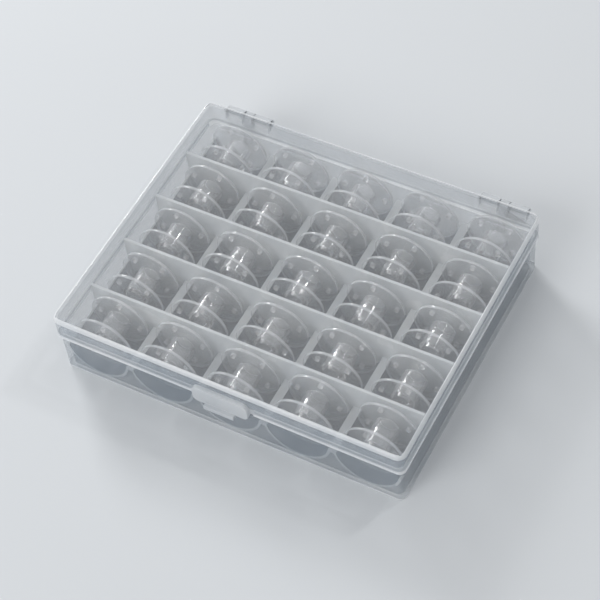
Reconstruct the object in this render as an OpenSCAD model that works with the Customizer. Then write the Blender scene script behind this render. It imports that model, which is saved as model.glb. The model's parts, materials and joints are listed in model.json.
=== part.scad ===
// Hinged case of frosted plastic that holds sewing machine bobbins on edge in rows of half-round cradles.
// Millimetres. X runs along the long side, Y from the latch to the hinges, and Z up.
// The origin lies on the table, under the middle of the whole outline, latch and hinges included.

/* [Bobbins] */
// Outer diameter of a bobbin
bobbin_d = 20.2; // [18:0.1:24]
// Width of a bobbin over its flanges
bobbin_w = 10.6; // [8:0.1:14]
// Thickness of a flange
flange_t = 1; // [0.8:0.05:1.5]
// Outer diameter of the hub
hub_d = 8.2; // [7.2:0.1:10]
// Diameter of the bore through the hub
bore_d = 6.2; // [5:0.1:6.6]
// Diameter of a thread hole in a flange
hole_d = 1.8; // [1.2:0.1:2.2]
// Distance of the thread holes from the bobbin's axis
hole_r = 7.2; // [6.4:0.1:7.8]

/* [Cells] */
// Number of cradles side by side
columns = 5; // [2:1:6]
// Number of cells from front to back
rows = 5; // [2:1:6]
// Radial clearance between a bobbin and its cradle
bobbin_gap = 0.35; // [0.2:0.05:1]
// Wall of a cradle
cradle_wall = 1; // [0.8:0.05:1.4]
// Space below the cradles
cradle_clear = 0.2; // [0:0.05:1]
// Width of the land between two cradles' hollows, on a level with the axles
column_gap = 2.5; // [1.5:0.1:6]
// Space between the outer cradles' hollows and the base's wall
side_gap = 0.65; // [0.4:0.05:4]
// How far the lands lie below the bobbins' axles
land_drop = 1.65; // [0.5:0.05:3]
// Space in front of a bobbin
space_front = 5.15; // [2.5:0.05:8]
// Space behind a bobbin
space_back = 3.15; // [2:0.05:6]
// How much shorter the front cells and the rear cells are
end_less = 1.85; // [0:0.05:2.2]
// Thickness of a row divider
divider_t = 1; // [0.8:0.05:1.6]
// Space between the row dividers' top edges and the lid's plate
divider_clear = 3.9; // [1:0.1:8]
// Space between the bobbins and the lid's plate
head_gap = 2.15; // [0.5:0.05:6]

/* [Base] */
// Thickness of the base's outer wall
base_wall = 1.3; // [1:0.05:2]
// How far the base's wall lies inside the lid's outline
base_inset = 0.8; // [0.5:0.05:1.2]
// How far the rim flange lies inside the lid's outline
flange_inset = 0.2; // [0.1:0.05:0.4]
// Height of the rim flange
flange_h = 1.6; // [1:0.1:2.4]
// Height of the locating lip above the rim
lip_h = 1.5; // [0.8:0.1:3]
// Thickness of the locating lip
lip_t = 0.65; // [0.5:0.05:1]

/* [Lid] */
// Height of the lid's skirt
skirt_h = 8; // [6.6:0.1:10]
// Clearance between the locating lip and the lid's skirt
lip_gap = 0.25; // [0.15:0.05:0.5]
// Thickness of the lid's top plate
lid_top = 1.1; // [0.8:0.1:1.8]
// Radius of the lid's upright corners
corner_r = 3; // [2.4:0.1:6]
// Radius of the rounding along the lid's top edge
lid_edge_r = 1.2; // [0.4:0.1:1.6]

/* [Hinges] */
// Distance of each hinge's middle from the nearer side of the case
hinge_in = 13.8; // [9:0.1:24]
// Width of a hinge over its two lugs
hinge_w = 16.3; // [12:0.1:20]
// Width of the base's ear between the two lugs
ear_w = 3; // [2:0.1:4]
// Side clearance between the ear and a lug
ear_gap = 0.3; // [0.2:0.05:0.5]
// Distance of the hinge's axis behind the lid's skirt
axis_back = 2.85; // [2.4:0.05:3.2]
// Height of the hinge's axis above the rim
axis_up = 2; // [1.3:0.05:2]
// Outer radius of the knuckles
knuckle_r = 1.9; // [1.7:0.05:2]
// Radius of the hinge pin
pin_r = 0.8; // [0.6:0.05:1]
// Radial clearance between the pin and a lug's bore
pin_gap = 0.1; // [0.05:0.01:0.1]
// Width of the slot through which the pin snaps in
snap_slot = 1.2; // [0.8:0.1:1.4]

/* [Latch] */
// Width of the latch tab
tab_w = 19; // [14:0.5:24]
// Height of the latch tab's top above the rim
tab_up = 4.5; // [3:0.1:5.5]
// How far the latch tab hangs below the rim
tab_down = 2.1; // [1.8:0.1:3]
// Thickness of the latch tab
tab_t = 1.7; // [1.2:0.1:2.2]
// Radius of the latch tab's lower corners
tab_r = 1.8; // [1:0.1:2]
// Width of the finger lip below the tab
finger_w = 10.4; // [6:0.2:12]
// How far the finger lip reaches out from the tab
finger_out = 1.4; // [0.8:0.1:2.4]
// Height of the finger lip
finger_h = 1.6; // [1.2:0.1:2]
// How far the catch ridge stands out from the base's wall
catch_out = 0.45; // [0.3:0.05:0.5]
// Clearance between the catch ridge and the tab's bead
catch_gap = 0.15; // [0.1:0.05:0.2]

/* [Hidden] */
// Arcs are drawn with this many sides
$fn = 64;
// Overlap that joins two shapes of one solid
bite = 0.4;
// Number of thread holes in a flange
holes = 4;
// Tangent angle of the hinge lug's sloping top
lug_slope = 60;
// Tangent angle of the ear's bracket
bracket_slope = 33;
// Height of the catch ridge
catch_h = 1;
// Width of the catch ridge
catch_w = 9;
// Height of the bead inside the latch tab
bead_h = 0.5;
// How far the bead stops short of the tab's ends and the recess runs past them
tab_margin = 0.7;
// Chamfer on a bobbin's rims
rim_bevel = 0.25;
// How far the side lips stop short of the rear wall
lip_short = 2.4;

cradle_in = bobbin_d / 2 + bobbin_gap;
cradle_out = cradle_in + cradle_wall;
axle_z = cradle_clear + cradle_out;
land_z = axle_z - land_drop;
column_pitch = 2 * cradle_in + column_gap;
row_pitch = space_front + bobbin_w + space_back + divider_t;

inner_w = (columns - 1) * column_pitch + 2 * (cradle_in + side_gap);
inner_d = rows * row_pitch - divider_t - 2 * end_less;
inner_r = max(corner_r - base_inset - base_wall, 0.5);
outer_w = inner_w + 2 * base_wall;
outer_d = inner_d + 2 * base_wall;
outer_r = corner_r - base_inset;
lip_w = inner_w + 2 * lip_t;
lip_d = inner_d + 2 * lip_t;
hollow_w = lip_w + 2 * lip_gap;
hollow_d = lip_d + 2 * lip_gap;
case_w = outer_w + 2 * base_inset;
case_d = outer_d + 2 * base_inset;
lid_wall = (case_w - hollow_w) / 2;

roof_z = axle_z + bobbin_d / 2 + head_gap;
case_h = roof_z + lid_top;
rim_z = case_h - skirt_h;
divider_z = roof_z - divider_clear;
flange_z0 = rim_z - flange_h;

hinge_x = case_w / 2 - hinge_in;
axis_y = case_d / 2 + axis_back;
axis_z = rim_z + axis_up;
lug_w = (hinge_w - ear_w) / 2 - ear_gap;
tab_y = case_d / 2 + tab_t;
tab_z0 = rim_z - tab_down;
origin_y = (axis_y + knuckle_r - tab_y - finger_out) / 2;

// Middle of column c, counted from the left
function column_x(c) = (c - (columns + 1) / 2) * column_pitch;

// Middle of row divider r, counted from the front
function divider_y(r) = (r - rows / 2) * row_pitch;

// Front and rear face of the cell in row r
function cell_front(r) = r == 1 ? -inner_d / 2 : divider_y(r - 1) + divider_t / 2;
function cell_rear(r) = r == rows ? inner_d / 2 : divider_y(r) - divider_t / 2;

// Middle of the bobbins in row r
function bobbin_y(r) = (cell_front(r) + cell_rear(r) + space_front - space_back) / 2;

// Each bobbin was dropped in at its own angle
function bobbin_turn(r, c) = (r * 37 + c * 61) % 90;

// Brings the origin under the middle of the whole outline
module placed() {
    translate([0, -origin_y, 0]) children();
}

// Rectangle with round corners
module plate(w, d, r) {
    square([w - 2 * r, d], center = true);
    square([w, d - 2 * r], center = true);
    for (x = [-1, 1], y = [-1, 1])
        translate([x * (w / 2 - r), y * (d / 2 - r)]) circle(r);
}

// Block with round upright corners and a rounding of radius e along its top edge
module soft_block(w, d, h, r, e) {
    linear_extrude(h - e) plate(w, d, r);
    linear_extrude(h) plate(w - 2 * e, d - 2 * e, r - e);
    for (x = [-1, 1], y = [-1, 1])
        translate([x * (w / 2 - r), y * (d / 2 - r), 0])
            rotate_extrude() {
                square([r - e, h]);
                square([r, h - e]);
                translate([r - e, h - e]) circle_quarter(e);
            }
    for (y = [-1, 1])
        translate([0, y * (d / 2 - e), h - e])
            rotate([0, 90, 0]) cylinder(r = e, h = w - 2 * r, center = true);
    for (x = [-1, 1])
        translate([x * (w / 2 - e), 0, h - e])
            rotate([90, 0, 0]) cylinder(r = e, h = d - 2 * r, center = true);
}

// Upper right quarter of a disc
module circle_quarter(r) {
    intersection() {
        circle(r);
        square(r);
    }
}

// Shape drawn in Y and Z, given a thickness of w along X around its middle
module along_x(w) {
    rotate([90, 0, 90]) translate([0, 0, -w / 2]) linear_extrude(w) children();
}

// Shape drawn in X and Z, given a thickness of t along Y around its middle
module along_y(t) {
    rotate([90, 0, 0]) translate([0, 0, -t / 2]) linear_extrude(t) children();
}

// Side view of a hinge lug: a knuckle whose arm widens to the full height of the lid's skirt
module lug_profile() {
    root_y = case_d / 2 - bite;
    top_z = axis_z + (knuckle_r + (axis_y - root_y) * cos(lug_slope)) / sin(lug_slope);
    translate([axis_y, axis_z]) circle(knuckle_r);
    polygon([
        [root_y, rim_z + lip_gap],
        [axis_y, axis_z - knuckle_r],
        [axis_y, axis_z],
        [axis_y + knuckle_r * cos(lug_slope), axis_z + knuckle_r * sin(lug_slope)],
        [root_y, min(top_z, case_h - lid_edge_r)]
    ]);
}

// Side view of the base's ear: a knuckle carried by a bracket on the rear wall
module ear_profile() {
    root_y = outer_d / 2 - bite;
    foot = [axis_y + knuckle_r * cos(bracket_slope), axis_z - knuckle_r * sin(bracket_slope)];
    root_z = foot[1] - (foot[0] - root_y) / tan(bracket_slope);
    translate([axis_y, axis_z]) circle(knuckle_r);
    polygon([
        [root_y, root_z],
        foot,
        [axis_y, axis_z],
        [axis_y - knuckle_r * cos(bracket_slope), axis_z - knuckle_r * sin(bracket_slope)],
        [case_d / 2 - flange_inset, rim_z - lip_gap],
        [root_y, rim_z - lip_gap]
    ]);
}

// Two lugs that hang on one hinge pin, with the slot through which the pin snaps in
module hinge_lugs() {
    for (side = [-1, 1])
        translate([side * (ear_w / 2 + ear_gap + lug_w / 2), 0, 0])
            along_x(lug_w)
                difference() {
                    lug_profile();
                    translate([axis_y, axis_z]) circle(pin_r + pin_gap);
                    translate([axis_y - snap_slot / 2, axis_z - 2 * knuckle_r])
                        square([snap_slot, 2 * knuckle_r]);
                }
}

// Ear of the base with the pin that carries the lid's lugs
module hinge_ear() {
    along_x(ear_w) ear_profile();
    translate([0, axis_y, axis_z])
        rotate([0, 90, 0]) cylinder(r = pin_r, h = hinge_w - 2 * lip_gap, center = true);
}

// Tab that hangs over the front of the rim, with a finger lip and a bead behind it
module latch_tab() {
    tab_z1 = rim_z + tab_up;
    tab_h = tab_z1 - tab_z0;
    bead_in = outer_d / 2 + catch_out + catch_gap;
    translate([0, -(case_d + tab_t) / 2, (tab_z0 + tab_z1) / 2])
        along_y(tab_t) plate(tab_w, tab_h, tab_r);
    translate([-tab_w / 2 + tab_r, -case_d / 2 - bite, rim_z])
        cube([tab_w - 2 * tab_r, 2 * bite, tab_up - tab_r]);
    translate([-finger_w / 2, -tab_y - finger_out, tab_z0 - finger_h / 2])
        cube([finger_w, finger_out + bite, finger_h]);
    translate([-finger_w / 2, -tab_y, tab_z0 - finger_h / 2])
        cube([finger_w, tab_t - bite, finger_h / 2 + bite]);
    translate([-catch_w / 2 + tab_margin, -case_d / 2 - bite, tab_z0])
        cube([catch_w - 2 * tab_margin, case_d / 2 - bead_in + bite, bead_h]);
}

// Lid: a shallow tray with the latch tab in front and the hinge lugs behind
module lid() {
    color([0.84, 0.87, 0.9, 0.45]) placed() {
        difference() {
            translate([0, 0, rim_z]) soft_block(case_w, case_d, skirt_h, corner_r, lid_edge_r);
            translate([0, 0, rim_z - 1])
                linear_extrude(roof_z - rim_z + 1) plate(hollow_w, hollow_d, corner_r - lid_wall);
        }
        latch_tab();
        for (side = [-1, 1])
            translate([side * hinge_x, 0, 0]) hinge_lugs();
    }
}

// Wall around the base, with its rim flange, locating lip, hinge ears and catch ridge
module base_shell() {
    color([0.8, 0.84, 0.87, 0.5]) placed() {
        difference() {
            union() {
                linear_extrude(rim_z) plate(outer_w, outer_d, outer_r);
                translate([0, 0, flange_z0]) rim_flange();
                translate([0, 0, rim_z]) locating_lip();
            }
            translate([0, 0, -1])
                linear_extrude(rim_z + lip_h + 2) plate(inner_w, inner_d, inner_r);
        }
        for (side = [-1, 1])
            translate([side * hinge_x, 0, 0]) hinge_ear();
        catch_ridge();
    }
}

// Flange around the rim, cut back where the latch tab hangs in front of it
module rim_flange() {
    difference() {
        linear_extrude(flange_h)
            plate(case_w - 2 * flange_inset, case_d - 2 * flange_inset, corner_r - flange_inset);
        translate([-tab_w / 2 - tab_margin, -case_d / 2, -1])
            cube([tab_w + 2 * tab_margin, base_inset, flange_h + 2]);
    }
}

// Low lip inside the lid's skirt, left out along the rear, where the lid swings
module locating_lip() {
    difference() {
        linear_extrude(lip_h) plate(lip_w, lip_d, inner_r + lip_t);
        translate([-case_w / 2, inner_d / 2 - lip_short, -1])
            cube([case_w, case_d, lip_h + 2]);
    }
}

// Ridge on the front wall that the latch tab's bead snaps under
module catch_ridge() {
    translate([-catch_w / 2, -outer_d / 2 - catch_out, tab_z0 + bead_h + catch_gap])
        cube([catch_w, catch_out + bite, catch_h]);
}

// Half-round trough that runs from the front wall to the rear wall, with half a land on each side
module cradle(c) {
    x = column_x(c);
    left = max(x - column_pitch / 2, -inner_w / 2);
    right = min(x + column_pitch / 2, inner_w / 2);
    color([0.78, 0.82, 0.86, 0.5]) placed()
        along_y(inner_d)
            intersection() {
                difference() {
                    union() {
                        translate([x, axle_z]) circle(cradle_out);
                        translate([x - column_pitch / 2, land_z - cradle_wall])
                            square([column_pitch, cradle_wall]);
                    }
                    translate([x, axle_z]) circle(cradle_in);
                }
                translate([left, 0]) square([right - left, land_z]);
            }
}

// Upright plate between two rows, which fills the cradles under it
module row_divider(r) {
    color([0.8, 0.84, 0.88, 0.5]) placed()
        translate([0, divider_y(r), 0])
            along_y(divider_t) {
                translate([-inner_w / 2, land_z]) square([inner_w, divider_z - land_z]);
                for (c = [1:columns])
                    translate([column_x(c), axle_z])
                        intersection() {
                            circle(cradle_in);
                            translate([-cradle_in, -cradle_in])
                                square([2 * cradle_in, land_z - axle_z + cradle_in]);
                        }
            }
}

// Half of a bobbin's section, drawn as radius and height
module bobbin_section() {
    end = bobbin_w / 2;
    inside = end - flange_t;
    rim = bobbin_d / 2;
    polygon([
        [bore_d / 2, -end],
        [rim - rim_bevel, -end],
        [rim, -end + rim_bevel],
        [rim, -inside - rim_bevel],
        [rim - rim_bevel, -inside],
        [hub_d / 2, -inside],
        [hub_d / 2, inside],
        [rim - rim_bevel, inside],
        [rim, inside + rim_bevel],
        [rim, end - rim_bevel],
        [rim - rim_bevel, end],
        [bore_d / 2, end]
    ]);
}

// Clear bobbin lying on edge, with thread holes through both flanges
module bobbin(r, c) {
    color([0.86, 0.88, 0.9, 0.35]) placed()
        translate([column_x(c), bobbin_y(r), axle_z])
            rotate([90, bobbin_turn(r, c), 0])
                difference() {
                    rotate_extrude() bobbin_section();
                    for (k = [0:holes - 1])
                        rotate([0, 0, k * 360 / holes])
                            translate([hole_r, 0, 0]) cylinder(d = hole_d, h = bobbin_w + 2, center = true);
                }
}

lid();
base_shell();
for (c = [1:columns])
    cradle(c);
for (r = [1:rows - 1])
    row_divider(r);
for (r = [1:rows], c = [1:columns])
    bobbin(r, c);
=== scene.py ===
"""A hinged case of frosted plastic with rows of clear bobbins, on a pale table under soft studio light.

Lengths in this script are millimetres until they reach Blender, which gets metres.
"""
import json
import math

import bmesh
import bpy
from mathutils import Matrix, Vector


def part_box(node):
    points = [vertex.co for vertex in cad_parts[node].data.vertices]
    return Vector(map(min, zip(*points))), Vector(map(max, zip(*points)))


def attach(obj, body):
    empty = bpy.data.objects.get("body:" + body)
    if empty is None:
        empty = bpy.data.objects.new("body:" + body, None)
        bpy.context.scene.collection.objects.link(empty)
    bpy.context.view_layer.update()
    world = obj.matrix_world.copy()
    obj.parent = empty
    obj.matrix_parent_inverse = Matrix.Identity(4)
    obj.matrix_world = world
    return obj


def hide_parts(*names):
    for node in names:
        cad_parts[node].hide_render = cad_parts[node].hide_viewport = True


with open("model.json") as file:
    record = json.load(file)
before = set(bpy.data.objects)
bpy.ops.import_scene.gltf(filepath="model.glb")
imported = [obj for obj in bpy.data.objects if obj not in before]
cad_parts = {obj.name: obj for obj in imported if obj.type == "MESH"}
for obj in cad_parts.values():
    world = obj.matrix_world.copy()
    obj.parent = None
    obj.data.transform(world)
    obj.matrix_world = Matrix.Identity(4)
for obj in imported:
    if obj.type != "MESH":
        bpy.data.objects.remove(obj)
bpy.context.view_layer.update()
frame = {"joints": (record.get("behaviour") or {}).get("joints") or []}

MM = 0.001


def packed_box(node):
    """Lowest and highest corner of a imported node, as six millimetre values."""
    return [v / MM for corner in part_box(node) for v in corner]


# Case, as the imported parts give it
FIRST_CRADLE = packed_box("cradle_1")
SECOND_CRADLE = packed_box("cradle_2")
FIRST_DIVIDER = packed_box("row_divider_1")
LAST_DIVIDER = packed_box("row_divider_4")
LID = packed_box("lid")
COLUMNS = 5
ROWS = 5
COLUMN_PITCH = SECOND_CRADLE[3] - SECOND_CRADLE[0]
LAND_Z = FIRST_CRADLE[5]
INNER_W = FIRST_DIVIDER[3] - FIRST_DIVIDER[0]
INNER_D = FIRST_CRADLE[4] - FIRST_CRADLE[1]
MID_Y = (FIRST_CRADLE[4] + FIRST_CRADLE[1]) / 2
DIVIDER_T = FIRST_DIVIDER[4] - FIRST_DIVIDER[1]
DIVIDER_Z = FIRST_DIVIDER[5]
ROW_PITCH = (LAST_DIVIDER[1] - FIRST_DIVIDER[1]) / (ROWS - 2)
CASE_W = LID[3] - LID[0]
CASE_H = LID[5]
HINGE_AXIS = [v / MM for v in frame["joints"][0]["pos_m"]]

# Walls and fits, as in the part's source
BASE_WALL = 1.3
BASE_INSET = 0.8
CASE_D = INNER_D + 2 * (BASE_WALL + BASE_INSET)
HALF_W = CASE_W / 2
HALF_D = CASE_D / 2
RIM_Z = 17.0
FOOT_GLOW_Z = 0.7
FLANGE_H = 1.6
FLANGE_INSET = 0.2
LIP_H = 1.5
LIP_IN = 1.45
LIP_REAR = 2.4
CORNER_R = 3.0
LID_WALL = 1.2
LID_TOP = 1.1
LID_EDGE_R = 1.2
EDGE_GLOW_Z = 23.3
CRADLE_WALL = 1.0
AXLE_Z = 11.65
CRADLE_R = 10.45
FIT_GAP = 0.02
FIT_W = INNER_W - 2 * FIT_GAP
FIT_D = INNER_D - 2 * FIT_GAP

# Hinges
HINGE_X = 46.2
HINGE_W = 16.3
EAR_W = 3.0
EAR_GAP = 0.3
EAR_SLOPE = math.radians(33)
LUG_SLOPE = math.radians(60)
HINGE_FROM_RIM = 0.25
KNUCKLE_R = 1.9
PIN_R = 0.8
PIN_GAP = 0.1
PIN_SHORT = 0.5
SNAP_SLOT = 1.2

# Latch
TAB_W = 19.0
TAB_Z = (14.9, 21.5)
TAB_T = 1.7
TAB_R = 1.8
TAB_BITE = 0.1
FINGER_W = 10.4
FINGER_OUT = 1.4
FINGER_H = 1.6
CATCH_W = 9.0
CATCH_OUT = 0.45
CATCH_Z = (15.55, 16.55)
BEAD_W = 7.6
BEAD_H = 0.5
BEAD_IN = 0.2
RECESS_W = 20.4

# Bobbins
BOBBIN_R = 10.1
BOBBIN_W = 10.6
BOBBIN_FLANGE = 1.0
HUB_R = 4.1
BORE_R = 3.1
HOLE_R = 0.9
HOLE_PLACE = 7.2
HOLES = 4

# How deep joined pieces run into each other, and how far a cutter runs past a face
BITE = 0.4
PAST = 1

# Rounds along the edges, and the steps of the rounds
EDGE_ROUND = 0.22
CRADLE_ROUND = 0.15
BOBBIN_ROUND = 0.2
CORNER_STEPS = 8
LID_EDGE_STEPS = 6
TAB_STEPS = 6
ARC_STEPS = 44
KNUCKLE_SIDES = 48
PIN_SIDES = 32
BOBBIN_SIDES = 72
HOLE_SIDES = 24

# How a face's normal and middle tell where it lies, for its material, which on some faces is painted glow,
# highlight or shade
LEVEL = 0.9
FLAT = 0.95
UPRIGHT = 0.1
ON_PLANE = 0.05
BELOW_FLANGE = 0.2
BEHIND_FLANGE = 0.1
LAND_ROUND = 0.3
SKIRT_FOOT = 0.4
PAST_SKIRT = 0.15
HUB_BAND = 0.3
RIM_GLOW_BAND = 0.25


def deselect():
    if bpy.context.object and bpy.context.object.mode != "OBJECT":
        bpy.ops.object.mode_set(mode="OBJECT")
    bpy.ops.object.select_all(action="DESELECT")


def activate(piece):
    deselect()
    piece.select_set(True)
    bpy.context.view_layer.objects.active = piece


def metres(point):
    return tuple(v * MM for v in point)


def settled(name):
    """Names the piece just added and writes its place into its mesh."""
    piece = bpy.context.object
    piece.name = name
    piece.data.name = name
    bpy.ops.object.transform_apply(location=True, rotation=True, scale=True)
    return piece


def block(name, low, high):
    deselect()
    middle = [(a + b) / 2 for a, b in zip(low, high)]
    size = [b - a for a, b in zip(low, high)]
    bpy.ops.mesh.primitive_cube_add(size=1, location=metres(middle), scale=metres(size))
    return settled(name)


def rod(name, radius, length, middle, axis, sides):
    deselect()
    turn = {"X": (0, math.pi / 2, 0), "Z": (0, 0, 0)}[axis]
    bpy.ops.mesh.primitive_cylinder_add(
        vertices=sides, radius=radius * MM, depth=length * MM, location=metres(middle), rotation=turn)
    return settled(name)


def pick(piece, kind, test):
    """Opens the piece in edit mode, with the elements selected that pass the test."""
    activate(piece)
    bpy.ops.object.mode_set(mode="EDIT")
    bpy.ops.mesh.select_mode(type=kind)
    bpy.ops.mesh.select_all(action="DESELECT")
    mesh = bmesh.from_edit_mesh(piece.data)
    items = {"VERT": mesh.verts, "EDGE": mesh.edges, "FACE": mesh.faces}[kind]
    for item in items:
        if test(item):
            item.select_set(True)
    mesh.select_flush_mode()
    bmesh.update_edit_mesh(piece.data)


def pick_all(piece, kind="FACE"):
    pick(piece, kind, lambda item: True)


def done():
    bpy.ops.object.mode_set(mode="OBJECT")


def draw_up(rise):
    """Extrudes what is selected straight up."""
    bpy.ops.mesh.extrude_region_move(TRANSFORM_OT_translate={"value": (0, 0, rise * MM)})


def split_level(piece, level):
    """Cuts the piece's faces along a level, so that the two sides can have their own material, as the bands
    of painted glow need.
    """
    pick_all(piece)
    bpy.ops.mesh.bisect(plane_co=metres((0, 0, level)), plane_no=(0, 0, 1))
    done()


def stands_up(edge):
    """Whether an edge rises more than a millimetre."""
    return abs(edge.verts[0].co.z - edge.verts[1].co.z) / MM > 1


def runs_back(edge):
    """Whether an edge runs more than a millimetre from front to rear."""
    return abs(edge.verts[0].co.y - edge.verts[1].co.y) / MM > 1


def apply_modifier(piece, modifier):
    activate(piece)
    bpy.ops.object.modifier_apply(modifier=modifier.name)


def combine(piece, tool, operation):
    modifier = piece.modifiers.new(operation.lower(), "BOOLEAN")
    modifier.operation = operation
    modifier.solver = "EXACT"
    modifier.object = tool
    apply_modifier(piece, modifier)
    bpy.data.objects.remove(tool)
    return piece


def join_to(piece, tool):
    return combine(piece, tool, "UNION")


def cut_from(piece, tool):
    return combine(piece, tool, "DIFFERENCE")


def soften(piece, radius, segments=2, hard_edge=40):
    """Small round along every hard edge, as a mould leaves it."""
    modifier = piece.modifiers.new("round", "BEVEL")
    modifier.width = radius * MM
    modifier.segments = segments
    modifier.limit_method = "ANGLE"
    modifier.angle_limit = math.radians(hard_edge)
    modifier.use_clamp_overlap = False
    modifier.miter_outer = "MITER_ARC"
    apply_modifier(piece, modifier)
    return tidy_mesh(piece)


def smooth(piece, angle=50):
    """Smooth shading over the rounds, which leaves the flat faces flat."""
    activate(piece)
    bpy.ops.object.shade_smooth_by_angle(angle=math.radians(angle))
    modifier = piece.modifiers.new("flat faces", "WEIGHTED_NORMAL")
    modifier.keep_sharp = True
    modifier.weight = 100
    apply_modifier(piece, modifier)
    return piece


def tidy_mesh(piece, merge=0.005):
    """Merges doubles, drops loose edges and points every face outwards."""
    pick_all(piece, "VERT")
    bpy.ops.mesh.remove_doubles(threshold=merge * MM)
    bpy.ops.mesh.delete_loose()
    bpy.ops.mesh.select_all(action="SELECT")
    bpy.ops.mesh.normals_make_consistent(inside=False)
    done()
    return piece


def prism(name, outline, axis, low, high):
    """Outline in Y and Z drawn out along X, or in X and Z along Y."""
    deselect()
    bpy.ops.mesh.primitive_circle_add(vertices=len(outline), radius=1, fill_type="NGON")
    piece = settled(name)
    for vertex, (across, up) in zip(piece.data.vertices, outline):
        vertex.co = metres((low, across, up) if axis == "X" else (across, low, up))
    pick_all(piece)
    length = (high - low) * MM
    bpy.ops.mesh.extrude_region_move(
        TRANSFORM_OT_translate={"value": (length, 0, 0) if axis == "X" else (0, length, 0)})
    done()
    return tidy_mesh(piece)


def column_x(c):
    return (c - (COLUMNS + 1) / 2) * COLUMN_PITCH


def divider_y(r):
    return MID_Y + (r - ROWS / 2) * ROW_PITCH


def inset_outline(inset):
    return CASE_W - 2 * inset, CASE_D - 2 * inset


def base_outline():
    """The wall's round-cornered outline on the floor, without a face."""
    deselect()
    bpy.ops.mesh.primitive_plane_add(size=1, location=metres((0, MID_Y, 0)))
    bpy.context.object.scale = (*metres(inset_outline(BASE_INSET)), 1)
    wall = settled("base_moulding")
    pick_all(wall, "VERT")
    bpy.ops.mesh.bevel(offset=(CORNER_R - BASE_INSET) * MM, segments=CORNER_STEPS, affect="VERTICES")
    bpy.ops.mesh.select_all(action="SELECT")
    bpy.ops.mesh.delete(type="ONLY_FACE")
    bpy.ops.mesh.select_all(action="SELECT")
    return wall


def base_wall():
    """Wall, rim flange and locating lip, drawn up from one round-cornered outline."""
    wall = base_outline()
    steps = [
        (inset_outline(BASE_INSET), RIM_Z - FLANGE_H),
        (inset_outline(FLANGE_INSET), RIM_Z - FLANGE_H),
        (inset_outline(FLANGE_INSET), RIM_Z),
        (inset_outline(LIP_IN), RIM_Z),
        (inset_outline(LIP_IN), RIM_Z + LIP_H),
        ((INNER_W, INNER_D), RIM_Z + LIP_H),
        ((INNER_W, INNER_D), 0),
    ]
    size = inset_outline(BASE_INSET)
    level = 0
    for next_size, next_level in steps:
        draw_up(next_level - level)
        bpy.ops.transform.resize(
            value=(next_size[0] / size[0], next_size[1] / size[1], 1),
            center_override=metres((0, MID_Y, next_level)))
        size, level = next_size, next_level
    done()
    pick(wall, "EDGE", lambda e: e.is_boundary)
    bpy.ops.mesh.bridge_edge_loops()
    done()
    tidy_mesh(wall)
    split_level(wall, FOOT_GLOW_Z)
    cut_from(wall, lip_end())
    return cut_from(wall, latch_recess())


def lip_end():
    """Cutter that stops the locating lip short of the rear wall."""
    rear = MID_Y + INNER_D / 2 - LIP_REAR
    return block("lip_end", (-CASE_W, rear, RIM_Z), (CASE_W, CASE_D, CASE_H))


def latch_recess():
    """Cutter that leaves room for the latch tab in the rim flange."""
    front = MID_Y - HALF_D
    return block("recess", (-RECESS_W / 2, front - PAST, RIM_Z - FLANGE_H - PAST),
                 (RECESS_W / 2, front + BASE_INSET, CASE_H))


def hanging_arcs(radius, level):
    """Points of one arc for each cradle, from the right one to the left, that hangs below a level."""
    drop = math.asin((level - AXLE_Z) / radius)
    sweep = -math.pi - 2 * drop
    angles = [drop + sweep * k / ARC_STEPS for k in range(ARC_STEPS + 1)]
    return [(column_x(c) + radius * math.cos(a), AXLE_Z + radius * math.sin(a))
            for c in range(COLUMNS, 0, -1) for a in angles]


def trough_insert():
    """Five half-round cradles with the flat lands between them, in one length."""
    half = FIT_W / 2
    outer_r = CRADLE_R + CRADLE_WALL
    end_z = AXLE_Z - math.sqrt(outer_r ** 2 - (half - column_x(COLUMNS)) ** 2)
    hollows = hanging_arcs(CRADLE_R, LAND_Z)
    under = [(x, z) for x, z in hanging_arcs(outer_r, LAND_Z - CRADLE_WALL) if abs(x) < half]
    outline = [(half, LAND_Z)] + hollows + [(-half, LAND_Z), (-half, end_z)] + under[::-1] + [(half, end_z)]
    return prism("cradle_moulding", outline, "Y", MID_Y - FIT_D / 2, MID_Y + FIT_D / 2)


def row_divider(r):
    """Upright plate whose lower edge follows the cradles."""
    half = FIT_W / 2
    foot_z = LAND_Z - CRADLE_WALL / 2
    corners = [(-half, foot_z), (-half, DIVIDER_Z), (half, DIVIDER_Z), (half, foot_z)]
    outline = corners + hanging_arcs(CRADLE_R + CRADLE_WALL / 2, foot_z)
    return prism("divider", outline, "Y", divider_y(r) - DIVIDER_T / 2, divider_y(r) + DIVIDER_T / 2)


def cradle_moulding():
    """The inside of the base: cradles, lands and row dividers, which end at the base's wall."""
    cradles = trough_insert()
    for r in range(1, ROWS):
        join_to(cradles, row_divider(r))
    tidy_mesh(cradles)
    soften(cradles, CRADLE_ROUND)
    return smooth(cradles)


def knuckle_edge(slope):
    """How far behind and above the hinge axis a line at this slope leaves the knuckle."""
    return KNUCKLE_R * math.cos(slope), KNUCKLE_R * math.sin(slope)


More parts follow.
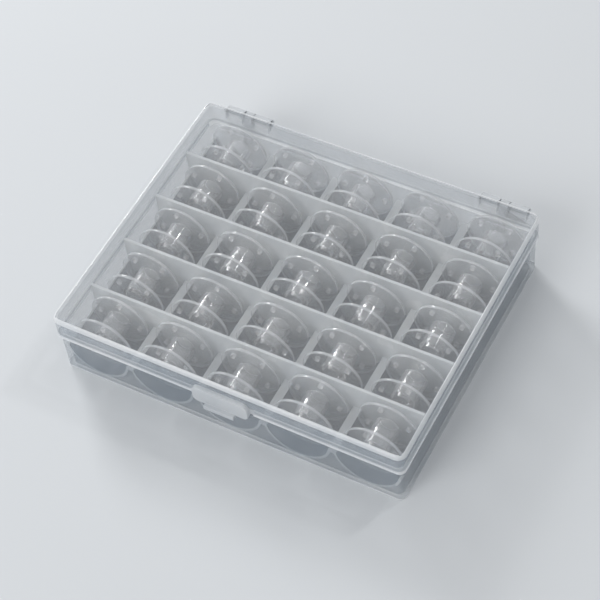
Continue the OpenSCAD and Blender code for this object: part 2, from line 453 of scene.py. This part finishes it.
def ear(x):
    """Bracket and knuckle of the base, with the pin for the lid's lugs."""
    axis_y, axis_z = HINGE_AXIS[1], HINGE_AXIS[2]
    back, up = knuckle_edge(EAR_SLOPE)
    foot = (axis_y + back, axis_z - up)
    head = (axis_y - back, axis_z - up)
    root_y = MID_Y + HALF_D - BASE_INSET - BITE
    root_z = foot[1] - (foot[0] - root_y) / math.tan(EAR_SLOPE)
    top_z = RIM_Z - HINGE_FROM_RIM
    outline = [(root_y, root_z), foot, (axis_y, axis_z), head,
               (MID_Y + HALF_D - FLANGE_INSET, top_z), (root_y, top_z)]
    arm = prism("ear", outline, "X", x - EAR_W / 2, x + EAR_W / 2)
    join_to(arm, rod("knuckle", KNUCKLE_R, EAR_W, (x, axis_y, axis_z), "X", KNUCKLE_SIDES))
    join_to(arm, rod("pin", PIN_R, HINGE_W - PIN_SHORT, (x, axis_y, axis_z), "X", PIN_SIDES))
    return arm


def catch_ridge():
    front = MID_Y - HALF_D + BASE_INSET
    return block("catch", (-CATCH_W / 2, front - CATCH_OUT, CATCH_Z[0]),
                 (CATCH_W / 2, front + BITE, CATCH_Z[1]))


def base_moulding():
    base = base_wall()
    for side in (-1, 1):
        join_to(base, ear(side * HINGE_X))
    join_to(base, catch_ridge())
    tidy_mesh(base)
    soften(base, EDGE_ROUND)
    return smooth(base)


def lid_tray():
    """Shallow tray with round upright corners and a rounded top edge."""
    tray = block("lid_moulding", (-HALF_W, MID_Y - HALF_D, RIM_Z), (HALF_W, MID_Y + HALF_D, CASE_H))
    pick(tray, "EDGE", stands_up)
    bpy.ops.mesh.bevel(offset=CORNER_R * MM, segments=CORNER_STEPS, affect="EDGES")
    done()
    pick(tray, "FACE", lambda f: f.normal.z > LEVEL)
    bpy.ops.mesh.region_to_loop()
    bpy.ops.mesh.bevel(offset=LID_EDGE_R * MM, segments=LID_EDGE_STEPS, affect="EDGES")
    done()
    pick(tray, "FACE", lambda f: f.normal.z < -LEVEL)
    bpy.ops.mesh.inset(thickness=LID_WALL * MM)
    draw_up(CASE_H - LID_TOP - RIM_Z)
    done()
    tidy_mesh(tray)
    split_level(tray, EDGE_GLOW_Z)
    return tray


def lug(x0, x1):
    """Knuckle of the lid, whose arm widens to the skirt."""
    axis_y, axis_z = HINGE_AXIS[1], HINGE_AXIS[2]
    back, up = knuckle_edge(LUG_SLOPE)
    root_y = MID_Y + HALF_D - BITE
    top_z = axis_z + (KNUCKLE_R + (axis_y - root_y) * math.cos(LUG_SLOPE)) / math.sin(LUG_SLOPE)
    outline = [(root_y, RIM_Z + HINGE_FROM_RIM), (axis_y, axis_z - KNUCKLE_R), (axis_y, axis_z),
               (axis_y + back, axis_z + up), (root_y, top_z)]
    arm = prism("lug", outline, "X", x0, x1)
    middle = ((x0 + x1) / 2, axis_y, axis_z)
    join_to(arm, rod("knuckle", KNUCKLE_R, x1 - x0, middle, "X", KNUCKLE_SIDES))
    cut_from(arm, rod("bore", PIN_R + PIN_GAP, x1 - x0 + 2 * PAST, middle, "X", PIN_SIDES))
    cut_from(arm, block("slot", (x0 - PAST, axis_y - SNAP_SLOT / 2, axis_z - 2 * KNUCKLE_R),
                        (x1 + PAST, axis_y + SNAP_SLOT / 2, axis_z)))
    return arm


def latch_tab():
    """Tab with rounded corners, the finger lip below it and the bead that snaps under the catch."""
    front = MID_Y - HALF_D
    tab = block("tab", (-TAB_W / 2, front - TAB_T, TAB_Z[0]), (TAB_W / 2, front + TAB_BITE, TAB_Z[1]))
    pick(tab, "EDGE", runs_back)
    bpy.ops.mesh.bevel(offset=TAB_R * MM, segments=TAB_STEPS, affect="EDGES")
    done()
    join_to(tab, block("finger", (-FINGER_W / 2, front - TAB_T - FINGER_OUT, TAB_Z[0] - FINGER_H / 2),
                       (FINGER_W / 2, front - BITE, TAB_Z[0] + FINGER_H / 2)))
    join_to(tab, block("bead", (-BEAD_W / 2, front - BITE, TAB_Z[0]),
                       (BEAD_W / 2, front + BEAD_IN, TAB_Z[0] + BEAD_H)))
    return tab


def lid_moulding():
    lid = lid_tray()
    near = EAR_W / 2 + EAR_GAP
    far = HINGE_W / 2
    for side in (-1, 1):
        for x0, x1 in ((-far, -near), (near, far)):
            join_to(lid, lug(side * HINGE_X + x0, side * HINGE_X + x1))
    join_to(lid, latch_tab())
    tidy_mesh(lid)
    soften(lid, EDGE_ROUND)
    return smooth(lid)


def between_flanges(face):
    return abs(face.normal.z) < UPRIGHT and abs(face.calc_center_median().z) / MM < 1


def flange_end(face):
    """Whether a face is the outer side of a flange."""
    return abs(face.normal.z) > LEVEL and abs(face.calc_center_median().z) / MM > BOBBIN_W / 2 - ON_PLANE


def flanged_hub():
    """Hub with its bore and two flanges, on the Z axis."""
    half = BOBBIN_W / 2
    bobbin = rod("bobbin_shape", BOBBIN_R, BOBBIN_W, (0, 0, 0), "Z", BOBBIN_SIDES)
    # Half a side round, so that no thread hole is cut along an edge
    bobbin.data.transform(Matrix.Rotation(math.pi / BOBBIN_SIDES, 4, "Z"))
    for level in (-half + BOBBIN_FLANGE, half - BOBBIN_FLANGE):
        split_level(bobbin, level)
    pick(bobbin, "FACE", between_flanges)
    bpy.ops.mesh.extrude_region_shrink_fatten(
        TRANSFORM_OT_shrink_fatten={"value": -(BOBBIN_R - HUB_R) * MM})
    done()
    pick(bobbin, "FACE", flange_end)
    bpy.ops.mesh.inset(thickness=(BOBBIN_R - BORE_R) * MM)
    bpy.ops.mesh.delete(type="FACE")
    done()
    pick(bobbin, "EDGE", lambda e: e.is_boundary)
    bpy.ops.mesh.bridge_edge_loops()
    done()
    return tidy_mesh(bobbin)


def bobbin_shape():
    """Bobbin with its thread holes, round the origin."""
    bobbin = flanged_hub()
    soften(bobbin, BOBBIN_ROUND, 3)
    for k in range(HOLES):
        angle = 2 * math.pi * k / HOLES
        middle = (HOLE_PLACE * math.cos(angle), HOLE_PLACE * math.sin(angle), 0)
        cut_from(bobbin, rod("thread_hole", HOLE_R, BOBBIN_W + 2 * PAST, middle, "Z", HOLE_SIDES))
    return smooth(tidy_mesh(bobbin))


def roll_angle(r, c):
    """Each bobbin's own angle, between 0 and 90 degrees, in no visible order."""
    return math.radians((r * 37 + c * 61) % 90)


def lay_bobbins(shape):
    """A copy of the bobbin in each cell, each dropped in at its own angle."""
    lay = Matrix.Rotation(math.radians(90), 4, "X")
    for r in range(1, ROWS + 1):
        for c in range(1, COLUMNS + 1):
            node = f"bobbin_{r}_{c}"
            low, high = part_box(node)
            piece = bpy.data.objects.new(f"clear_bobbin_{r}_{c}", shape.data.copy())
            bpy.context.scene.collection.objects.link(piece)
            piece.data.transform(Matrix.Translation((low + high) / 2)
                                 @ Matrix.Rotation(roll_angle(r, c), 4, "Y") @ lay)
            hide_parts(node)
            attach(piece, node)
    bpy.data.objects.remove(shape)


def group(name, inputs, outputs):
    tree = bpy.data.node_groups.new(name, "ShaderNodeTree")
    for label, kind, value in inputs:
        socket = tree.interface.new_socket(label, in_out="INPUT", socket_type=kind)
        socket.default_value = value
    for label, kind in outputs:
        tree.interface.new_socket(label, in_out="OUTPUT", socket_type=kind)
    return tree


def moulded_skin():
    """Slow waves and fine grain of a mould: a height for the bump, and a mask for tint and roughness."""
    tree = group("moulded skin", [("Vector", "NodeSocketVector", (0, 0, 0)),
                                  ("Wave size", "NodeSocketFloat", 12.0),
                                  ("Grain size", "NodeSocketFloat", 0.5),
                                  ("Grain share", "NodeSocketFloat", 0.25)],
                 [("Height", "NodeSocketFloat"), ("Cloud", "NodeSocketFloat")])
    nodes, links = tree.nodes, tree.links
    source = nodes.new("NodeGroupInput")
    target = nodes.new("NodeGroupOutput")

    def noise(size_socket, detail):
        scale = nodes.new("ShaderNodeMath")
        scale.operation = "DIVIDE"
        scale.inputs[0].default_value = 1 / MM
        links.new(source.outputs[size_socket], scale.inputs[1])
        node = nodes.new("ShaderNodeTexNoise")
        node.inputs["Detail"].default_value = detail
        links.new(source.outputs["Vector"], node.inputs["Vector"])
        links.new(scale.outputs[0], node.inputs["Scale"])
        return node.outputs["Fac"]

    wave = noise("Wave size", 2)
    grain = noise("Grain size", 1)
    mix = nodes.new("ShaderNodeMix")
    mix.data_type = "FLOAT"
    links.new(source.outputs["Grain share"], mix.inputs[0])
    links.new(wave, mix.inputs[2])
    links.new(grain, mix.inputs[3])
    links.new(mix.outputs[0], target.inputs["Height"])
    cloud = nodes.new("ShaderNodeMapRange")
    cloud.inputs["From Min"].default_value = 0.3
    cloud.inputs["From Max"].default_value = 0.7
    links.new(wave, cloud.inputs["Value"])
    links.new(cloud.outputs["Result"], target.inputs["Cloud"])
    return tree


def plastic(name, skin, tints, roughness, wave, grain, bump, cover, clarity=0.0, ior=1.49):
    """Milky plastic that hides a share (cover) of what lies behind it, or clear plastic (clarity).

    The moulded skin's clouds blend the pairs of tints and roughness. wave and grain are sizes in millimetres.
    """
    material = bpy.data.materials.new(name)
    material.use_nodes = True
    nodes, links = material.node_tree.nodes, material.node_tree.links
    shader = nodes["Principled BSDF"]
    place = nodes.new("ShaderNodeTexCoord")
    effect = nodes.new("ShaderNodeGroup")
    effect.node_tree = skin
    effect.inputs["Wave size"].default_value = wave
    effect.inputs["Grain size"].default_value = grain
    links.new(place.outputs["Object"], effect.inputs["Vector"])

    tint = nodes.new("ShaderNodeMix")
    tint.data_type = "RGBA"
    tint.inputs[6].default_value = (*tints[0], 1)
    tint.inputs[7].default_value = (*tints[1], 1)
    links.new(effect.outputs["Cloud"], tint.inputs[0])
    links.new(tint.outputs[2], shader.inputs["Base Color"])

    rough = nodes.new("ShaderNodeMapRange")
    rough.inputs["To Min"].default_value = roughness[0]
    rough.inputs["To Max"].default_value = roughness[1]
    links.new(effect.outputs["Cloud"], rough.inputs["Value"])
    links.new(rough.outputs["Result"], shader.inputs["Roughness"])

    relief = nodes.new("ShaderNodeBump")
    relief.inputs["Strength"].default_value = bump
    relief.inputs["Distance"].default_value = 0.1 * MM
    links.new(effect.outputs["Height"], relief.inputs["Height"])
    links.new(relief.outputs["Normal"], shader.inputs["Normal"])

    shader.inputs["Alpha"].default_value = cover
    shader.inputs["Transmission Weight"].default_value = clarity
    shader.inputs["IOR"].default_value = ior
    return material


def wall_plastic(skin):
    return plastic("base wall plastic", skin, tints=((0.40, 0.45, 0.50), (0.52, 0.56, 0.60)),
                   roughness=(0.14, 0.24), wave=14, grain=0.6, bump=0.25, cover=0.32)


# The cradles' hollows get a darker tint than the milky lands and dividers of the same moulding. This is
# painted shade, as if the cells lay in shadow.
def cradle_plastic_painted_shade(skin):
    return plastic("cradle plastic, painted shade", skin, tints=((0.15, 0.20, 0.26), (0.25, 0.30, 0.36)),
                   roughness=(0.2, 0.3), wave=10, grain=0.6, bump=0.25, cover=0.48)


def milky_plastic(skin):
    return plastic("milky plastic", skin, tints=((0.66, 0.69, 0.72), (0.78, 0.80, 0.81)),
                   roughness=(0.2, 0.3), wave=10, grain=0.6, bump=0.25, cover=0.7)


def hinge_plastic(skin):
    return plastic("hinge and latch plastic", skin, tints=((0.62, 0.65, 0.68), (0.72, 0.74, 0.76)),
                   roughness=(0.2, 0.3), wave=10, grain=0.6, bump=0.25, cover=0.66)


# Near-white, denser bands along the mouldings' edges. This is painted glow, standing in for the light that
# frosted plastic gathers and scatters along its edges.
def glowing_edge_plastic(skin):
    return plastic("moulding edges, painted glow", skin, tints=((0.80, 0.83, 0.86), (0.90, 0.91, 0.92)),
                   roughness=(0.1, 0.2), wave=14, grain=0.5, bump=0.2, cover=0.72)


def lid_plastic(skin):
    return plastic("clear lid plastic", skin, tints=((0.86, 0.88, 0.90), (0.93, 0.94, 0.95)),
                   roughness=(0.05, 0.1), wave=18, grain=0.5, bump=0.12, cover=0.09)


def skirt_plastic(skin):
    return plastic("lid skirt plastic", skin, tints=((0.46, 0.51, 0.56), (0.58, 0.62, 0.66)),
                   roughness=(0.08, 0.16), wave=14, grain=0.5, bump=0.2, cover=0.36)


def flange_plastic(skin):
    return plastic("bobbin flange plastic", skin, tints=((0.96, 0.97, 0.98), (1.0, 1.0, 1.0)),
                   roughness=(0.01, 0.03), wave=6, grain=0.4, bump=0.05, cover=0.5, clarity=0.97, ior=1.55)


def hub_plastic(skin):
    return plastic("bobbin hub plastic", skin, tints=((0.96, 0.97, 0.98), (1.0, 1.0, 1.0)),
                   roughness=(0.02, 0.05), wave=5, grain=0.4, bump=0.1, cover=0.9, clarity=0.9, ior=1.59)


# Whitish, denser band round each flange's rim. This is painted glow, for the bright outline that clear discs
# show along their edges.
def glowing_rim_plastic(skin):
    return plastic("bobbin rim, painted glow", skin, tints=((0.80, 0.83, 0.86), (0.90, 0.92, 0.94)),
                   roughness=(0.03, 0.08), wave=5, grain=0.4, bump=0.1, cover=0.36)


# Near-white walls of the thread holes and rounds at the bore's ends. This is painted highlight, for the
# ring-like glints round the holes.
def hole_highlight_plastic(skin):
    return plastic("bobbin hole edges, painted highlight", skin, tints=((0.90, 0.91, 0.92), (0.96, 0.96, 0.96)),
                   roughness=(0.03, 0.08), wave=5, grain=0.4, bump=0.1, cover=0.3)


def paint(piece, material, *others):
    """Gives the piece its material, and others to the faces whose middle (in mm) and normal pass a test."""
    piece.data.materials.clear()
    piece.data.materials.append(material)
    for index, (other, test) in enumerate(others, 1):
        piece.data.materials.append(other)
        for face in piece.data.polygons:
            if test(face.center / MM, face.normal):
                face.material_index = index
    return piece


def on_foot_or_flange(p, n):
    """Base: the band along the foot, and the rim flange, which get a painted glow."""
    return p.z < FOOT_GLOW_Z or RIM_Z - FLANGE_H - BELOW_FLANGE < p.z < RIM_Z + ON_PLANE


def on_ear(p, n):
    """Base: all that stands behind the rim flange."""
    return p.y > MID_Y + HALF_D - FLANGE_INSET + BEHIND_FLANGE


def at_wall(p, n):
    """Cradles: the ends that meet the base's wall, which get a painted glow."""
    return abs(p.y - MID_Y) > FIT_D / 2 - ON_PLANE or abs(p.x) > FIT_W / 2 - ON_PLANE


def on_land_or_divider(p, n):
    """Cradles: the lands and all above them, and the dividers' faces inside the cradles."""
    return p.z > LAND_Z - LAND_ROUND or (abs(n.y) > 0.7 and not at_wall(p, n))


def on_lid_plate(p, n):
    """Lid: the flat top, inside and outside."""
    return p.z > CASE_H - LID_TOP - ON_PLANE and abs(n.z) > FLAT


def on_lid_edge(p, n):
    """Lid: the round along the top's outline and the top of the skirt just below it, which get a painted
    glow.
    """
    near_side = abs(p.x) > HALF_W - LID_EDGE_R or abs(p.y - MID_Y) > HALF_D - LID_EDGE_R
    return p.z > EDGE_GLOW_Z and -0.05 < n.z < FLAT and near_side


def on_skirt_foot(p, n):
    """Lid: the lower edge of the skirt, which gets a painted glow."""
    return p.z < RIM_Z + SKIRT_FOOT


def on_lug_or_tab(p, n):
    """Lid: the lugs, apart from their undersides, and the latch tab."""
    return abs(p.y - MID_Y) > HALF_D + PAST_SKIRT and (p.y < MID_Y or n.z > -UPRIGHT)


def on_hub(p, n):
    return p.xy.length < HUB_R + HUB_BAND


def in_thread_hole(p, n):
    return HUB_R + HUB_BAND < p.xy.length < BOBBIN_R - HUB_BAND and abs(n.z) < 0.5


def on_bore_edge(p, n):
    return p.xy.length < HUB_R and UPRIGHT < abs(n.z) < FLAT


def on_bobbin_rim(p, n):
    return p.xy.length > BOBBIN_R - RIM_GLOW_BAND


def add_base(skin, edge, hinge):
    # The foot band and the rim flange carry a painted glow.
    base = paint(base_moulding(), wall_plastic(skin), (edge, on_foot_or_flange), (hinge, on_ear))
    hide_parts("base_shell")
    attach(base, "base")


def add_cradles(skin, edge):
    # The hollows carry painted shade, and the lands and dividers the milky tint. The ends at the wall carry a
    # painted glow.
    cradles = paint(cradle_moulding(), cradle_plastic_painted_shade(skin),
                    (milky_plastic(skin), on_land_or_divider), (edge, at_wall))
    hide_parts(*[f"cradle_{c}" for c in range(1, COLUMNS + 1)],
                *[f"row_divider_{r}" for r in range(1, ROWS)])
    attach(cradles, "base")


def add_lid(skin, edge, hinge):
    # The top edge's round and the skirt's foot carry a painted glow.
    lid = paint(lid_moulding(), skirt_plastic(skin), (lid_plastic(skin), on_lid_plate),
                (edge, on_lid_edge), (edge, on_skirt_foot), (hinge, on_lug_or_tab))
    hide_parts("lid")
    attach(lid, "lid")


def add_bobbins(skin):
    # The thread holes' walls and the bore's edges carry a painted highlight.
    hole = hole_highlight_plastic(skin)
    # The flange rims carry a painted glow.
    lay_bobbins(paint(bobbin_shape(), flange_plastic(skin), (hub_plastic(skin), on_hub),
                      (hole, in_thread_hole), (hole, on_bore_edge), (glowing_rim_plastic(skin), on_bobbin_rim)))


def softbox(name, direction, distance, size, power):
    """Square lamp that faces the case from a direction."""
    data = bpy.data.lights.new(name, "AREA")
    data.shape = "SQUARE"
    data.size = size
    data.energy = power
    lamp = bpy.data.objects.new(name, data)
    bpy.context.scene.collection.objects.link(lamp)
    lamp.location = Vector(direction).normalized() * distance
    lamp.rotation_euler = (-lamp.location).to_track_quat("-Z", "Y").to_euler()


def pale_floor():
    deselect()
    bpy.ops.mesh.primitive_plane_add(size=6, location=(0, 0, -0.02 * MM))
    floor = settled("floor")
    material = bpy.data.materials.new("pale floor")
    material.use_nodes = True
    shader = material.node_tree.nodes["Principled BSDF"]
    shader.inputs["Base Color"].default_value = (0.66, 0.68, 0.70, 1)
    shader.inputs["Roughness"].default_value = 0.8
    shader.inputs["Specular IOR Level"].default_value = 0.2
    paint(floor, material)


def studio():
    """Pale floor, even light from all round, two lamps behind the case and a soft one in front."""
    pale_floor()
    world = bpy.data.worlds.new("studio")
    world.use_nodes = True
    background = world.node_tree.nodes["Background"]
    background.inputs["Color"].default_value = (0.96, 0.98, 1.0, 1)
    background.inputs["Strength"].default_value = 0.46
    bpy.context.scene.world = world

    softbox("low lamp", direction=(-0.73, 0.50, 0.47), distance=1.0, size=0.24, power=5)
    softbox("high lamp", direction=(0.36, 0.50, 0.79), distance=1.0, size=0.08, power=1.2)
    softbox("front lamp", direction=(-0.25, -0.75, 0.60), distance=1.2, size=0.6, power=6)


def light_paths():
    """Enough bounces for a look through the lid, a bobbin's flanges and hub, and the base."""
    cycles = bpy.context.scene.cycles
    cycles.max_bounces = 32
    cycles.transparent_max_bounces = 48
    cycles.transmission_bounces = 28
    cycles.glossy_bounces = 8
    cycles.diffuse_bounces = 6
    cycles.caustics_refractive = True
    cycles.caustics_reflective = True


def camera():
    """The photograph's view, fitted to the corners of the case."""
    azimuth = math.radians(33.82)
    elevation = math.radians(53.06)
    roll = math.radians(-7.42)
    distance = 579.96
    off_centre = (-0.31, -2.80)
    look_at = (0, MID_Y, 12)
    turn = (Matrix.Rotation(azimuth, 3, "Z") @ Matrix.Rotation(math.pi / 2 - elevation, 3, "X")
            @ Matrix.Rotation(roll, 3, "Z"))
    data = bpy.data.cameras.new("camera")
    data.sensor_width = 36
    data.lens = 110.93
    data.clip_start = 0.01
    data.clip_end = 20
    view = bpy.data.objects.new("camera", data)
    bpy.context.scene.collection.objects.link(view)
    view.location = (Vector(look_at) + turn @ Vector((*off_centre, distance))) * MM
    view.rotation_euler = turn.to_euler()
    bpy.context.scene.camera = view
    bpy.context.scene.view_settings.view_transform = "Standard"


def build():
    camera()
    studio()
    light_paths()
    skin = moulded_skin()
    edge = glowing_edge_plastic(skin)
    hinge = hinge_plastic(skin)
    add_base(skin, edge, hinge)
    add_cradles(skin, edge)
    add_lid(skin, edge, hinge)
    add_bobbins(skin)


build()
